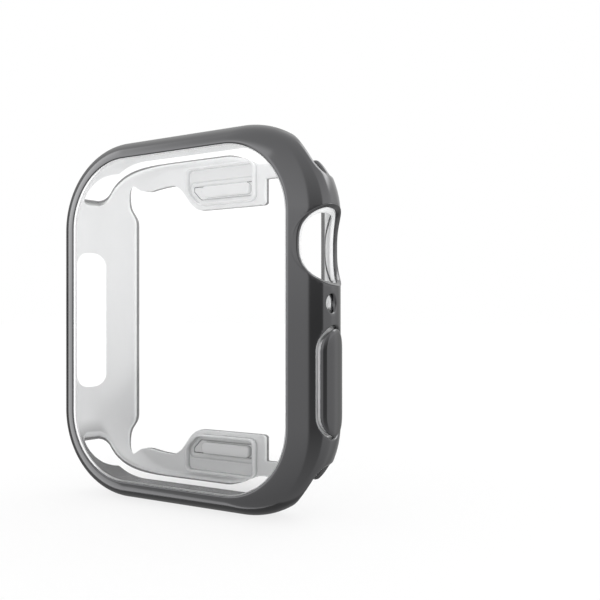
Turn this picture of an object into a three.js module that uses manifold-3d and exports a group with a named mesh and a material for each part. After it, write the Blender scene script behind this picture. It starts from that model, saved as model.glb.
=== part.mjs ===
// Bumper case for a rectangular smartwatch: a clear moulded body with a plated skin on its
// outside, a clear front film, a plated lip round the crown hole, a flexing side button and
// two flexing release pads on the back. Millimetres, +Z up.
// The case stands on its lower end, as it is shown: X is the width, with the crown side at +X,
// Y is the depth, with the film at the front (-Y), and Z is the height.
import * as THREE from 'three';
import { mergeVertices } from 'three/addons/utils/BufferGeometryUtils.js';
import Module from 'manifold-3d';

const wasm = await Module();
wasm.setup();

// Overall size
const caseHeight = 46;
const caseWidth = 40;
const caseDepth = 11;

// The side section bulges: its widest line lies this far behind the front
const widestDepth = 4;
const widestCornerRadius = 11;
const frontSideInset = 6.2;
const frontEndInset = 4.2;
const frontCornerRadius = 7.1;
const rearSideInset = 5.5;
const rearEndInset = 2.5;
const rearCornerRadius = 8;

// Walls: the plated skin, the gap behind it, and the whole wall with the clear body
const skinThickness = 0.3;
const skinGap = 0.1;
const sideWall = 1.1;
const frontWall = 1.7;
const backWall = 1.1;

// Window and film
const windowSideBorder = 3.94;
const windowEndBorder = 2.6;
const windowCornerRadius = 8.7;
const filmSetback = 0.45;
const filmThickness = 0.5;
const filmGap = 0.1;
const ledgeWidth = 0.9;

// Opening in the back plate. Its rails, lobes and tabs are measured in from the case's sides
// and ends, and the tabs' own ends from the middle.
const speakerRailWidth = 6.15;
const crownRailWidth = 4.2;
const crownNotchRadius = 1.2;
const crownNotchDrop = 5.1;
const tabDrop = 8.4;
const tabSlopeFoot = 3.1;
const tabSlopeRun = 3.3;
const tabCornerRun = 1;
const tabCrownEnd = 7.7;
const lobeReach = 1.2;
const lobeHeight = 3.2;
const lobeFootDrop = 9.7;
const lobeShoulderDrop = 4.6;
const lobeTopDrop = 3.6;
const lobeTopWidth = 0.9;
const waveLowDrop = 5.1;
const waveHighDrop = 4.7;
const waveLowShare = 0.42;
const waveHighShare = 0.79;

// Slots for the watch band, drawn in the side view
const ringRearMargin = 4;
const ringCurveDrop = 1.7;
const bandSlotFrontMargin = 4.1;
const bandSlotRearMargin = 2.6;
const bandSlotFootDrop = 6.15;
const bandSlotCornerRadius = 1.15;
const backPlateDrop = 1.35;

// Speaker slot in the wall opposite the crown
const speakerFrontMargin = 4.05;
const speakerRearMargin = 2.01;
const speakerSlotLength = 19.6;
const speakerSlotRadius = 2;

// Crown hole with its plated lip, and the microphone hole below it
const crownFrontMargin = 0.78;
const crownRearMargin = 1.72;
const crownSlotClearance = 3.8;
const crownLipWall = 0.3;
const crownLipProud = 0.12;
const crownLipGap = 0.1;
const crownHoleBridge = 0.35;
const micHoleDepth = 3.95;
const micHoleRadius = 0.97;
const micCrownClearance = 0.93;

// Side button: a raised pill on the crown side, pressed inwards
const buttonFrontMargin = 1.9;
const buttonHoleHalfWidth = 2.7;
const buttonMicClearance = 1.55;
const buttonSlotClearance = 3.46;
const buttonGap = 0.3;
const buttonProud = 0.35;
const buttonTravel = 0.4;
const plungerMargin = 0.7;
const plungerReach = 0.4;

// Release pads on the back plate tabs, pressed towards the front. The corner next to the
// tab's slope is cut off along it.
const padSlopeClearance = 1.05;
const padEndClearance = 1.55;
const padEdgeClearance = 0.85;
const padHeight = 2.85;
const padCornerRadius = 0.55;
const padChamfer = 1.6;
const padGap = 0.25;
const padTravel = 0.4;
const padBackingMargin = 0.35;
const padBackingThickness = 0.45;
const pocketRimGap = 0.05;
const pocketRimWall = 0.35;
const pocketRimHeight = 0.9;
const pocketRimRise = 1.6;
const pusherEndMargin = 0.65;
const pusherStartMargin = 2.25;
const pusherEdgeMargin = 0.75;
const pusherHeight = 0.85;

// Flexing webs in the grooves round the button and the pads
const webGap = 0.1;
const webThickness = 0.2;
const webClearance = 0.05;

// One overrun for every cut, and the fineness of arcs
const overrun = 3;
const cornerSteps = 8;
const frontSteps = 5;
const rearSteps = 6;
const holeSteps = 9;
const curveSteps = 5;
const padCurveSteps = 2;

const halfHeight = caseHeight / 2;
const halfWidth = caseWidth / 2;
const linerOffset = skinThickness + skinGap;

// Places that follow from the sizes above, measured from the middle of the case
const speakerRailEdge = halfWidth - speakerRailWidth;
const crownRailEdge = halfWidth - crownRailWidth;
const crownNotchTop = halfHeight - crownNotchDrop;
const tabEdge = halfHeight - tabDrop;
const tabSlopeTop = tabSlopeFoot + tabSlopeRun;
const lobeFoot = halfHeight - lobeFootDrop;
const lobeShoulder = halfHeight - lobeShoulderDrop;
const lobeTop = halfHeight - lobeTopDrop;
const waveLow = halfHeight - waveLowDrop;
const waveHigh = halfHeight - waveHighDrop;
const ringRearDepth = caseDepth - ringRearMargin;
const ringCurveStart = halfHeight - ringCurveDrop;
const bandSlotRear = caseDepth - bandSlotRearMargin;
const bandSlotFoot = halfHeight - bandSlotFootDrop;
const backPlateHalfHeight = halfHeight - backPlateDrop;
const speakerSlotWidth = caseDepth - speakerFrontMargin - speakerRearMargin;
const speakerSlotDepth = speakerFrontMargin + speakerSlotWidth / 2;
const crownHoleRadius = (caseDepth - crownFrontMargin - crownRearMargin) / 2;
const crownHoleDepth = crownFrontMargin + crownHoleRadius;
const crownCutRadius = crownHoleRadius + crownLipWall + crownLipGap;
const crownHoleHeight = bandSlotFoot - crownSlotClearance - crownCutRadius;
const micHoleHeight = crownHoleHeight - crownCutRadius - micCrownClearance - micHoleRadius;
const buttonTop = micHoleHeight - micHoleRadius - buttonMicClearance;
const buttonFoot = buttonSlotClearance - bandSlotFoot;
const buttonDepth = buttonFrontMargin + buttonHoleHalfWidth;
const buttonHeight = (buttonTop + buttonFoot) / 2;
const buttonHoleHalfLength = (buttonTop - buttonFoot) / 2;
const padLeft = -tabSlopeFoot - padSlopeClearance;
const padRight = tabCrownEnd - padEndClearance;
const padBottom = tabEdge + padEdgeClearance;
const padTop = padBottom + padHeight;
const pocketRimTop = padTop + pocketRimRise;

// Finishes
const plated = new THREE.MeshStandardMaterial({ color: 0x4f5052, roughness: 0.16, metalness: 0.9 });
const clear = new THREE.MeshStandardMaterial({ color: 0xe4e6e8, roughness: 0.12, metalness: 0 });
const film = new THREE.MeshStandardMaterial({ color: 0xf2f5f8, roughness: 0.05, metalness: 0 });
const web = new THREE.MeshStandardMaterial({ color: 0xb9bcc0, roughness: 0.3, metalness: 0 });

// Solids from geometries, and geometries from solids
function solidOf(geometry) {
  const bare = geometry.clone();
  bare.deleteAttribute('normal');
  bare.deleteAttribute('uv');
  const merged = mergeVertices(bare);
  return new wasm.Manifold(new wasm.Mesh({
    numProp: 3,
    vertProperties: new Float32Array(merged.attributes.position.array),
    triVerts: new Uint32Array(merged.index.array),
  }));
}

function geometryOf(solid) {
  const mesh = solid.getMesh();
  const geometry = new THREE.BufferGeometry();
  geometry.setAttribute('position', new THREE.BufferAttribute(mesh.vertProperties, mesh.numProp));
  geometry.setIndex(new THREE.BufferAttribute(mesh.triVerts, 1));
  geometry.computeVertexNormals();
  return geometry;
}

// Points of a rounded rectangle round the middle, the same number for every size
function outlinePoints(width, height, radius) {
  const points = [];
  for (let corner = 0; corner < 4; corner += 1) {
    const start = corner * Math.PI / 2;
    const signX = corner === 0 || corner === 3 ? 1 : -1;
    const signZ = corner < 2 ? 1 : -1;
    for (let step = 0; step <= cornerSteps; step += 1) {
      const angle = start + step / cornerSteps * Math.PI / 2;
      points.push([
        signX * (width - radius) + radius * Math.cos(angle),
        signZ * (height - radius) + radius * Math.sin(angle),
      ]);
    }
  }
  return points;
}

// The case's outer form, or the same form drawn in by a side, a front and a back amount.
// Each ring is a rounded rectangle between the end outline and the widest one, mixed along
// a quarter ellipse, so the side section is one smooth bulge.
function caseForm(side, front, back) {
  const widest = [halfWidth - side, halfHeight - side, widestCornerRadius - side];
  const frontEnd = [halfWidth - frontSideInset, halfHeight - frontEndInset, frontCornerRadius];
  const rearEnd = [halfWidth - rearSideInset, halfHeight - rearEndInset, rearCornerRadius];
  const rings = [];
  for (let step = 0; step <= frontSteps; step += 1) {
    const angle = step / frontSteps * Math.PI / 2;
    rings.push({
      end: frontEnd,
      share: Math.sin(angle),
      depth: front + (widestDepth - front) * (1 - Math.cos(angle)),
    });
  }
  for (let step = 1; step <= rearSteps; step += 1) {
    const angle = step / rearSteps * Math.PI / 2;
    rings.push({
      end: rearEnd,
      share: Math.cos(angle),
      depth: widestDepth + (caseDepth - back - widestDepth) * Math.sin(angle),
    });
  }
  const positions = [];
  for (const ring of rings) {
    const size = widest.map((value, k) => ring.end[k] + (value - ring.end[k]) * ring.share);
    for (const [x, z] of outlinePoints(...size)) {
      positions.push(x, ring.depth, z);
    }
  }
  const count = positions.length / 3 / rings.length;
  const index = [];
  for (let ring = 0; ring + 1 < rings.length; ring += 1) {
    for (let point = 0; point < count; point += 1) {
      const next = (point + 1) % count;
      const a = ring * count + point;
      const b = ring * count + next;
      index.push(a, a + count, b);
      index.push(b, a + count, b + count);
    }
  }
  const last = (rings.length - 1) * count;
  for (let point = 1; point + 1 < count; point += 1) {
    index.push(0, point, point + 1);
    index.push(last, last + point + 1, last + point);
  }
  const geometry = new THREE.BufferGeometry();
  geometry.setAttribute('position', new THREE.Float32BufferAttribute(positions, 3));
  geometry.setIndex(index);
  return solidOf(geometry);
}

// A shape drawn in width and height, carried along the depth
function alongDepth(shape, from, to) {
  const options = { depth: to - from, bevelEnabled: false, curveSegments: curveSteps };
  const geometry = new THREE.ExtrudeGeometry(shape, options);
  geometry.rotateX(Math.PI / 2);
  geometry.translate(0, to, 0);
  return solidOf(geometry);
}

// A shape drawn in depth and height, carried along the width
function alongWidth(shape, from, to) {
  const options = { depth: to - from, bevelEnabled: false, curveSegments: holeSteps };
  const geometry = new THREE.ExtrudeGeometry(shape, options);
  const depthAxis = new THREE.Vector3(0, 1, 0);
  const heightAxis = new THREE.Vector3(0, 0, 1);
  const widthAxis = new THREE.Vector3(1, 0, 0);
  geometry.applyMatrix4(new THREE.Matrix4().makeBasis(depthAxis, heightAxis, widthAxis));
  geometry.translate(from, 0, 0);
  return solidOf(geometry);
}

// A rounded rectangle of half sizes round a centre
function roundedRectangle(centreX, centreY, halfX, halfY, radius) {
  const shape = new THREE.Shape();
  const r = Math.min(radius, halfX, halfY);
  const left = centreX - halfX + r;
  const right = centreX + halfX - r;
  const low = centreY - halfY + r;
  const high = centreY + halfY - r;
  shape.absarc(right, high, r, 0, Math.PI / 2, false);
  shape.absarc(left, high, r, Math.PI / 2, Math.PI, false);
  shape.absarc(left, low, r, Math.PI, 1.5 * Math.PI, false);
  shape.absarc(right, low, r, 1.5 * Math.PI, 2 * Math.PI, false);
  return shape;
}

function circle(centreX, centreY, radius) {
  return new THREE.Shape().absarc(centreX, centreY, radius, 0, 2 * Math.PI, false);
}

// The front window, grown or shrunk by an amount all round
function windowShape(grow) {
  return roundedRectangle(
    0,
    0,
    halfWidth - windowSideBorder + grow,
    halfHeight - windowEndBorder + grow,
    windowCornerRadius + grow,
  );
}

// The opening in the back plate: a straight rail on each side, a lobe in each corner of the
// speaker side, and a tab at each end that slopes on the speaker side and is square on the
// crown side. Drawn for the upper half and mirrored for the lower one.
function backOpeningShape() {
  const rail = -speakerRailEdge;
  const waveRun = speakerRailEdge - tabSlopeTop - tabCornerRun;
  const upper = new THREE.Path();
  upper.moveTo(rail, lobeFoot);
  upper.bezierCurveTo(
    rail,
    lobeFoot + lobeHeight / 2,
    rail - lobeReach,
    lobeFoot + lobeHeight / 2,
    rail - lobeReach,
    lobeFoot + lobeHeight,
  );
  upper.quadraticCurveTo(rail - lobeReach, lobeShoulder, rail, lobeTop);
  upper.bezierCurveTo(
    rail + lobeTopWidth,
    lobeShoulder,
    rail + lobeTopWidth,
    waveLow,
    rail + waveRun * waveLowShare,
    waveLow,
  );
  upper.quadraticCurveTo(
    rail + waveRun * waveHighShare,
    waveHigh,
    -tabSlopeTop - tabCornerRun,
    waveHigh,
  );
  upper.quadraticCurveTo(-tabSlopeTop, waveHigh, -tabSlopeTop + tabCornerRun, waveHigh - tabCornerRun);
  upper.lineTo(-tabSlopeFoot - tabCornerRun, tabEdge + tabCornerRun);
  upper.quadraticCurveTo(-tabSlopeFoot, tabEdge, -tabSlopeFoot + tabCornerRun, tabEdge);
  upper.lineTo(tabCrownEnd, tabEdge);
  upper.lineTo(tabCrownEnd, crownNotchTop);
  upper.lineTo(crownRailEdge - crownNotchRadius, crownNotchTop);
  upper.quadraticCurveTo(
    crownRailEdge,
    crownNotchTop,
    crownRailEdge,
    crownNotchTop - crownNotchRadius,
  );
  const points = upper.getPoints(curveSteps);
  const mirrored = points.map((point) => new THREE.Vector2(point.x, -point.y)).reverse();
  return new THREE.Shape([...points, ...mirrored]);
}

// A band slot in the side view: it runs the whole width behind the front ring, wraps both
// corners and ends in the side walls with a flat foot between two round corners. The back
// plate stops short of the ring's end.
function bandSlotShape(sign) {
  const above = halfHeight + overrun;
  const behind = caseDepth + overrun;
  const r = bandSlotCornerRadius;
  const cornerHeight = bandSlotFoot + r;
  const frontCorner = bandSlotFrontMargin + r;
  const rearCorner = bandSlotRear - r;
  const slot = new THREE.Path();
  slot.moveTo(ringRearDepth, above);
  slot.lineTo(ringRearDepth, ringCurveStart);
  slot.quadraticCurveTo(bandSlotFrontMargin, ringCurveStart, bandSlotFrontMargin, cornerHeight);
  slot.absarc(frontCorner, cornerHeight, r, Math.PI, 1.5 * Math.PI, false);
  slot.absarc(rearCorner, cornerHeight, r, 1.5 * Math.PI, 2 * Math.PI, false);
  slot.quadraticCurveTo(bandSlotRear, backPlateHalfHeight, caseDepth, backPlateHalfHeight);
  slot.lineTo(behind, backPlateHalfHeight);
  slot.lineTo(behind, above);
  const points = slot.getPoints(curveSteps);
  const placed = points.map((point) => new THREE.Vector2(point.x, sign * point.y));
  return new THREE.Shape(sign > 0 ? placed : placed.reverse());
}

function buttonShape(halfX, halfY) {
  return roundedRectangle(buttonDepth, buttonHeight, halfX, halfY, halfX);
}

// The pad's outline, drawn in by a margin. Where two straight edges meet at 45 degrees, an
// equal margin on both moves their corner by the tangent of half that angle.
function padShape(sign, shrink, top = padTop) {
  const left = padLeft + shrink;
  const right = padRight - shrink;
  const low = padBottom + shrink;
  const high = top - shrink;
  const chamfer = padChamfer - 2 * shrink * Math.tan(Math.PI / 8);
  const r = Math.max(padCornerRadius - shrink, webGap);
  const upper = new THREE.Path();
  upper.moveTo(left + chamfer, low);
  upper.lineTo(right - r, low);
  upper.absarc(right - r, low + r, r, -Math.PI / 2, 0, false);
  upper.absarc(right - r, high - r, r, 0, Math.PI / 2, false);
  upper.absarc(left + r, high - r, r, Math.PI / 2, Math.PI, false);
  upper.lineTo(left, low + chamfer);
  const points = upper.getPoints(padCurveSteps);
  const placed = points.map((point) => new THREE.Vector2(point.x, sign * point.y));
  return new THREE.Shape(sign > 0 ? placed : placed.reverse());
}

// Every opening that goes through both the skin and the clear body
const sideReach = halfWidth + overrun;
const backCutStart = widestDepth + sideWall;
const crownCutStart = halfWidth - windowSideBorder + crownHoleBridge;
const innerReach = halfWidth / 2;

const throughCuts = [
  alongDepth(backOpeningShape(), backCutStart, caseDepth + overrun),
  alongWidth(bandSlotShape(1), -sideReach, sideReach),
  alongWidth(bandSlotShape(-1), -sideReach, sideReach),
  alongWidth(
    roundedRectangle(
      speakerSlotDepth,
      0,
      speakerSlotWidth / 2,
      speakerSlotLength / 2,
      speakerSlotRadius,
    ),
    -sideReach,
    -innerReach,
  ),
  alongWidth(circle(crownHoleDepth, crownHoleHeight, crownCutRadius), crownCutStart, sideReach),
  alongWidth(circle(micHoleDepth, micHoleHeight, micHoleRadius), innerReach, sideReach),
  alongWidth(buttonShape(buttonHoleHalfWidth, buttonHoleHalfLength), innerReach, sideReach),
  alongDepth(padShape(1, 0), backCutStart, caseDepth + overrun),
  alongDepth(padShape(-1, 0), backCutStart, caseDepth + overrun),
];

function cutThrough(solid) {
  return throughCuts.reduce((rest, cut) => rest.subtract(cut), solid);
}

// Plated skin: the outer layer of the form, open at the window and at every hole
function platedShell() {
  const skin = caseForm(0, 0, 0).subtract(caseForm(skinThickness, skinThickness, skinThickness));
  return cutThrough(skin.subtract(alongDepth(windowShape(0), -overrun, widestDepth)));
}

// Clear body: the moulding inside the skin, with a ledge that the film seats on
function clearBody() {
  const layer = caseForm(linerOffset, linerOffset, linerOffset)
    .subtract(caseForm(sideWall, frontWall, backWall));
  const filmBack = filmSetback + filmThickness + filmGap;
  const seat = alongDepth(windowShape(0), -overrun, filmBack);
  const inside = alongDepth(windowShape(-ledgeWidth), -overrun, widestDepth);
  return cutThrough(layer.subtract(seat).subtract(inside));
}

// Front film: a flat pane set in the window
function screenFilm() {
  return alongDepth(windowShape(-filmGap), filmSetback, filmSetback + filmThickness);
}

// Plated lip round the crown hole: a short tube trimmed to the wall's own curve
function crownLip() {
  const outer = crownHoleRadius + crownLipWall;
  const start = crownCutStart + crownLipGap;
  const tube = alongWidth(circle(crownHoleDepth, crownHoleHeight, outer), start, sideReach)
    .subtract(alongWidth(
      circle(crownHoleDepth, crownHoleHeight, crownHoleRadius),
      innerReach,
      sideReach + overrun,
    ));
  const proud = caseForm(-crownLipProud, 0, 0);
  return tube.intersect(proud).subtract(caseForm(sideWall, frontWall, backWall));
}

// Side button: a plated cap, a clear plunger behind it and a thin web in the groove
function buttonPart(halfX, halfY, outerOffset, innerOffset) {
  const blank = alongWidth(buttonShape(halfX, halfY), innerReach, sideReach);
  return blank
    .intersect(caseForm(outerOffset, outerOffset, outerOffset))
    .subtract(caseForm(innerOffset, innerOffset, innerOffset));
}

function buttonCap() {
  const halfX = buttonHoleHalfWidth - buttonGap;
  const halfY = buttonHoleHalfLength - buttonGap;
  return buttonPart(halfX, halfY, -buttonProud, skinThickness);
}

function buttonPlunger() {
  const halfX = buttonHoleHalfWidth - plungerMargin;
  const halfY = buttonHoleHalfLength - plungerMargin;
  return buttonPart(halfX, halfY, linerOffset, sideWall + plungerReach);
}

function buttonWeb() {
  const top = skinThickness + buttonTravel + webClearance;
  const inner = plungerMargin - webGap;
  const ring = buttonPart(
    buttonHoleHalfWidth - webGap,
    buttonHoleHalfLength - webGap,
    top,
    top + webThickness,
  );
  const core = buttonShape(buttonHoleHalfWidth - inner, buttonHoleHalfLength - inner);
  return ring.subtract(alongWidth(core, 0, sideReach));
}

// Release pad: a plated plate flush with the back, a clear pusher bar on its inside, a thin
// web in the groove, and the raised rim of the pocket on the plate's inner face
const padInnerFace = caseDepth - skinThickness;
const backingFace = caseDepth - linerOffset;
const plateInnerFace = caseDepth - backWall;

function releasePad(sign) {
  return alongDepth(padShape(sign, padGap), padInnerFace, caseDepth);
}

function pusherBar(sign) {
  const backing = alongDepth(
    padShape(sign, padGap + padBackingMargin),
    backingFace - padBackingThickness,
    backingFace,
  );
  const start = padLeft + pusherStartMargin;
  const end = padRight - pusherEndMargin;
  const barHalfHeight = padHeight / 2 - pusherEdgeMargin;
  const bar = roundedRectangle(
    (start + end) / 2,
    sign * (padBottom + padTop) / 2,
    (end - start) / 2,
    barHalfHeight,
    barHalfHeight,
  );
  const foot = backingFace - padBackingThickness - pusherHeight;
  return backing.add(alongDepth(bar, foot, backingFace));
}

function padWeb(sign) {
  const rear = padInnerFace - padTravel - webClearance;
  const ring = alongDepth(padShape(sign, webGap), rear - webThickness, rear);
  const coreShape = padShape(sign, padGap + padBackingMargin - webGap);
  return ring.subtract(alongDepth(coreShape, widestDepth, caseDepth));
}

function pocketRim(sign) {
  const outer = padShape(sign, -pocketRimGap - pocketRimWall, pocketRimTop);
  const inner = padShape(sign, -pocketRimGap, pocketRimTop - pocketRimWall);
  return alongDepth(outer, plateInnerFace - pocketRimHeight, plateInnerFace)
    .subtract(alongDepth(inner, widestDepth, caseDepth));
}

function named(name, solid, material) {
  const mesh = new THREE.Mesh(geometryOf(solid), material.clone());
  mesh.name = name;
  return mesh;
}

const assembly = new THREE.Group();
assembly.add(named('plated_shell', platedShell(), plated));
assembly.add(named('clear_body', clearBody(), clear));
assembly.add(named('screen_film', screenFilm(), film));
assembly.add(named('crown_hole_lip', crownLip(), plated));
assembly.add(named('side_button_cap', buttonCap(), plated));
assembly.add(named('side_button_plunger', buttonPlunger(), clear));
assembly.add(named('side_button_web', buttonWeb(), web));
for (const [end, sign] of [['top', 1], ['bottom', -1]]) {
  assembly.add(named(`${end}_release_pad`, releasePad(sign), plated));
  assembly.add(named(`${end}_pusher_bar`, pusherBar(sign), clear));
  assembly.add(named(`${end}_release_web`, padWeb(sign), web));
  assembly.add(named(`${end}_pocket_rim`, pocketRim(sign), clear));
}

// The origin is under the middle of the case, on the surface that it stands on
assembly.position.set(0, -caseDepth / 2, halfHeight);

const group = new THREE.Group();
group.add(assembly);

export default group;
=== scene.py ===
"""Looks of a bumper case for a rectangular smartwatch: a clear moulded body, a plated dark grey skin on its
outside, a clear front film, a plated lip round the crown hole, a flexing side button and two release pads.

Sizes are in millimetres, in the case's own directions: x is the width with the crown side at +x, y the depth
from the front (0) to the back, and z the height from the middle. Meshes are stored in metres, in the part's
frame."""

import math

import bmesh
import bpy
import numpy as np
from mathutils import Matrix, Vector


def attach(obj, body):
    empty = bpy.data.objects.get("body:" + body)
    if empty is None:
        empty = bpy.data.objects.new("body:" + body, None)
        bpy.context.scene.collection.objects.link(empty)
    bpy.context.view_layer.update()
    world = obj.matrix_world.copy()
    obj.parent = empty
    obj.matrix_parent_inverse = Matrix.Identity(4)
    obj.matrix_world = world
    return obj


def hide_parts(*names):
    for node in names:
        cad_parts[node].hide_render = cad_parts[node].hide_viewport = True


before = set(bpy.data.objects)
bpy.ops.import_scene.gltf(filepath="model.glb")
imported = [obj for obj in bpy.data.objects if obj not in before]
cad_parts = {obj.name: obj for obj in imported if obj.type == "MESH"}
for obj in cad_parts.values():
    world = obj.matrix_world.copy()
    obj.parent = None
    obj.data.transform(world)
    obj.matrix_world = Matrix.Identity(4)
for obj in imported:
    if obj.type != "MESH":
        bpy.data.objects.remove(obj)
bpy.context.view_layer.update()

MILLIMETRE = 0.001

# Components of a point
WIDTH, DEPTH, HEIGHT = 0, 1, 2

# Form of the case
CASE_HEIGHT = 46.0
CASE_WIDTH = 40.0
CASE_DEPTH = 11.0
HALF_HEIGHT = CASE_HEIGHT / 2
HALF_WIDTH = CASE_WIDTH / 2
WIDEST_DEPTH = 4.0
WIDEST_RADIUS = 11.0
FRONT_END = (HALF_WIDTH - 6.2, HALF_HEIGHT - 4.2, 7.1)
REAR_END = (HALF_WIDTH - 5.5, HALF_HEIGHT - 2.5, 8.0)
WIDEST = (HALF_WIDTH, HALF_HEIGHT, WIDEST_RADIUS)
WINDOW_ANGLE = math.asin(0.3725)
FRONT_ARC = 6.4
REAR_ARC = 10.2
FLAT_REACH = 6.4

# Walls
SKIN = 0.25
BODY_START = 0.3
SIDE_WALL = 1.1
END_WALL = 1.8
FRONT_WALL = 1.0
BACK_WALL = 1.1
SKIN_WRAP = 0.6

# How far the rounded edge of each opening reaches along the wall
EDGE_REACH = 0.4
SLOT_REACH = 0.75
CROWN_REACH = 0.4
OPENING_REACH = 0.15
MIC_REACH = 0.25
BUTTON_REACH = 0.22
GROOVE_REACH = 0.12

# Film and the ledge that it lies on
FILM_FRONT = 0.3
FILM_BACK = 0.95
FILM_GAP = 0.02
LEDGE_DEPTH = 0.98
LEDGE_WIDTH = 0.1
LEDGE_THICKNESS = 0.16

# Openings
CROWN_DEPTH = 5.1
CROWN_HEIGHT = 8.4
CROWN_HALF_DEPTH = 4.26
CROWN_HALF_HEIGHT = 4.2
CROWN_POWER = 2.9
CROWN_LIP_WIDTH = 0.45
CROWN_LIP_PROUD = 0.06
CROWN_LIP_FOOT = -0.22
CROWN_LIP_TUBE = 0.07
CROWN_LIP_DROP = 0.42
CROWN_LIP_FRONT_DEPTH = 0.5
CROWN_LIP_REAR_DEPTH = 1.75
CROWN_LIP_BANDS = (0.2, 0.6)
MIC_DEPTH = 3.95
MIC_HEIGHT = 1.85
MIC_RADIUS = 0.97
SPEAKER_DEPTH = 6.52
SPEAKER_HALF_WIDTH = 2.47
SPEAKER_HALF_LENGTH = 9.8
SPEAKER_RADIUS = 2.0
RING_REAR = 7.0
RING_CURVE_START = 21.3
SLOT_FRONT = 4.1
SLOT_REAR = 8.4
SLOT_FOOT = 16.85
SLOT_CORNER = 1.15
SLOT_SHIFT = 0.9
SLOT_SHIFT_WIDTHS = (6.0, 14.0)
SLOT_SHIFT_DEPTHS = (8.0, 5.0)
PLATE_HALF_HEIGHT = 21.65
PLATE_DROP = 1.8
PLATE_DROP_WIDTHS = (1.8, 7.4)
PLATE_DROP_DEPTHS = (8.4, 9.8)

# Opening in the back plate
SPEAKER_RAIL = -13.85
CROWN_RAIL = 15.8
NOTCH_RADIUS = 1.2
RAIL_STRAIGHT = 13.3
LOBE_REACH = 1.2
LOBE_HEIGHT = 3.2
LOBE_SHOULDER = 18.4
LOBE_TOP = 19.4
LOBE_TOP_WIDTH = 0.9
WAVE_LOW = 17.9
WAVE_HIGH = 18.3
WAVE_LOW_REACH = 2.7
WAVE_HIGH_REACH = 5.1
TAB_EDGE = 14.6
TAB_SLOPE_TOP = 6.4
TAB_SLOPE_FOOT = 3.1
TAB_CORNER_RUN = 1.0
TAB_CROWN_END = 7.7
NOTCH_TOP = 17.9

# Side button
BUTTON_DEPTH = 4.6
BUTTON_HEIGHT = -7.03
BUTTON_HALF_WIDTH = 2.7
BUTTON_HALF_LENGTH = 6.36
BUTTON_GAP = 0.3
BUTTON_PROUD = 0.35
BUTTON_ROUND = 0.5
CAP_BOTTOM = -0.02
PLUNGER_MARGIN = 0.7
PLUNGER_RADIUS = BUTTON_HALF_WIDTH - PLUNGER_MARGIN
PLUNGER_TOP = -0.05
PLUNGER_BOTTOM = -1.5
PLUNGER_ROUND = 0.25

# Release pads
PAD_LEFT = -4.15
PAD_RIGHT = 6.15
PAD_BOTTOM = 15.45
PAD_TOP = 18.3
PAD_RADIUS = 0.55
PAD_CHAMFER = 1.6
PAD_GAP = 0.1
POCKET_TOP = 19.9
RIM_WALL = 0.35
RIM_HEIGHT = 0.9
PUSHER_CENTRE = 1.8
PUSHER_HALF_WIDTH = 3.7
PUSHER_HALF_HEIGHT = 0.75
PUSHER_HEIGHT = 0.85
BACKING_MARGIN = 0.6
BACKING_FACE = 10.6
BACKING_THICKNESS = 0.45
PAD_THICKNESS = 0.3
PAD_EDGE = 0.07
PUSHER_ROUND = 0.2
WEB_THICKNESS = 0.2
WEB_DROP = 0.75

# Fineness
GRID = 0.36
CURVE_STEPS = 14
EDGE_STEPS = 6
CROWN_STEPS = 224
OUTLINE_POINTS = 132
PILL_SPACING = 0.3
MERGE_DISTANCE = 1e-8

# Bounds of the sums: a distance that counts as none, one beyond every wall, the least slope that a distance
# is divided by, and the share of an edge under which a clipped corner snaps to its end
TINY = 1e-6
FAR = 50.0
LEAST_SLOPE = 0.25
SNAP_SHARE = 0.12

# Seams and small roundings
SKIN_SEAM = 0.04
TUCK_SHARE = 0.22
BODY_SHARE = 0.94
BODY_ROUND = 0.22
SKIN_LIP = -0.03
SKIN_LIP_DEPTHS = (0.34, 0.45)
RIM_OUT = 0.035
RIM_DEPTH = 0.31
RIM_FOOT = 0.5
LEDGE_ROUND = 0.06
FILM_ROUND = 0.015
CREST_SHARE = 0.8
BUTTON_CROWN = 0.06
PUSHER_CORNER = 0.5
WEB_SEAM = 0.03
WEB_SAG = 0.08
WEB_TRAVEL = 0.45

# Finishes: linear colours, noises as a scale per metre and a detail, and bumps and places in metres, in the
# part's frame
PLATED_GREY = (0.105, 0.105, 0.108)
PLATED_ROUGHNESS = (0.1, 0.14)
PLATED_NOISE = (900, 3)
PLATED_BUMP = 4e-7
BACKING_GREY = (0.86, 0.87, 0.88)
BACKING_METAL = 0.2
BACKING_ROUGHNESS = (0.3, 0.4)
BACKING_NOISE = (900, 2)
# Moulding colours face-on and edge-on; the darker edge-on colour is painted shade standing in for refraction
MOULDING_FACE = (0.96, 0.965, 0.97)
MOULDING_EDGE_SHADE = (0.5, 0.51, 0.52)
MOULDING_BLEND = 0.2
MOULDING_CLEAR = 0.04
# Painted glow: an emission on the moulding that rises towards its top
MOULDING_PAINTED_GLOW = 0.11
PAINTED_GLOW_HEIGHTS = (-0.002, 0.036)
# Painted shade on the moulding: its grey, and where it falls by facing, depth and width
SHADED_GREY = (0.05, 0.05, 0.052)
SHADED_FACING = (0.2, 0.6)
SHADED_DEPTH = (0.0026, 0.0014)
RAIL_SHADE_WIDTHS = ((0.0152, 0.01545), (0.01635, 0.0161))
RAIL_SHADE_DEPTH = (0.003, 0.0037)
MOULDING_IOR = 1.46
MOULDING_ROUGHNESS = (0.06, 0.14)
MOULDING_NOISE = (500, 2)
MOULDING_BUMP = 2e-6
FILM_IOR = 1.65
FILM_ROUGHNESS = (0.0, 0.03)
FILM_NOISE = (60, 1)

# Sockets of a Mix node for colours: the two that go in, and the one that comes out
COLOUR_SOCKETS = (6, 7)
COLOUR_RESULT = 2

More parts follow.
